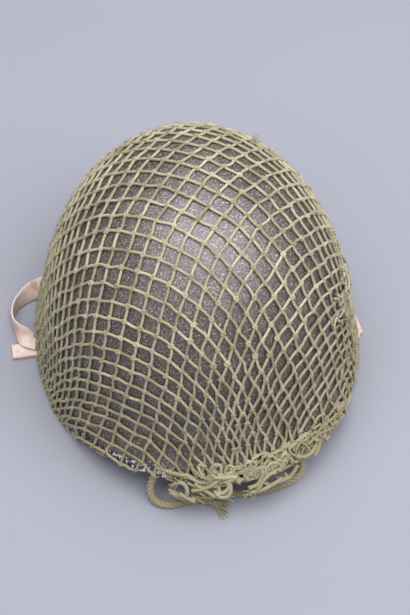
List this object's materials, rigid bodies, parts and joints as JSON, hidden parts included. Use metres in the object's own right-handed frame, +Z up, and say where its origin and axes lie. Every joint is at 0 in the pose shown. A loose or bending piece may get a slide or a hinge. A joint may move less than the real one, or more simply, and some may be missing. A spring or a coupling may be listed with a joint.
{
  "type": "steel pot helmet",
  "caption": "Steel pot helmet with a visor, knotted camouflage net with drawcord, and a lift-out fibre liner with head harness and chinstraps.",
  "frame": {"origin": "on the table plane, on the crown's vertical axis, in the middle of the head opening", "axes": "-Y towards the visor, +Y towards the nape, +X towards the wearer's left, +Z up to the crown"},
  "size_m": [0.258, 0.2893, 0.1786],
  "materials": {
    "painted_steel": "rough matt paint with grit",
    "rim_steel": "worn satin paint",
    "net_cotton": "knotted cotton twine",
    "strap_leather": "pale natural leather",
    "brass": "dull brass",
    "liner_fibre": "painted resin fibre",
    "webbing": "herringbone webbing",
    "sweatband_leather": "smooth leather",
    "plain_steel": "blackened steel"
  },
  "bodies": {
    "liner": {"liner_shell": "liner_fibre", "brow_eyelet": "brass", "suspension_band": "webbing", "crown_strap_1": "webbing", "crown_strap_2": "webbing", "crown_strap_3": "webbing", "crown_strap_4": "webbing", "crown_strap_5": "webbing", "crown_strap_6": "webbing", "crown_lace": "webbing", "harness_washers": "plain_steel", "sweatband": "sweatband_leather", "sweatband_clips": "plain_steel", "harness_rivets": "plain_steel", "nape_strap": "webbing", "nape_rivets": "plain_steel", "bail_plate_left": "painted_steel", "bail_plate_right": "painted_steel", "bail_left": "painted_steel", "bail_right": "painted_steel", "chinstrap_long": "strap_leather", "chinstrap_tip": "brass", "chinstrap_running_end": "strap_leather", "chinstrap_short": "strap_leather", "chinstrap_buckle": "brass"},
    "pot": {"steel_shell": "painted_steel", "rim_channel": "rim_steel", "camouflage_net": "net_cotton", "net_hem": "net_cotton", "drawcord_left": "net_cotton", "drawcord_right": "net_cotton"},
    "prong": {"buckle_prong": "brass"}
  },
  "joints": [
    {"name": "pot_lift", "type": "slide", "parent": "liner", "child": "pot", "axis": [0, 0, 1], "range_m": [0, 0.2]},
    {"name": "prong_turn", "type": "hinge", "parent": "liner", "child": "prong", "pos_m": [0.08048, -0.03069, 0.0029], "axis": [-0.1392, 0.9903, 0], "range_deg": [0, 140]}
  ]
}
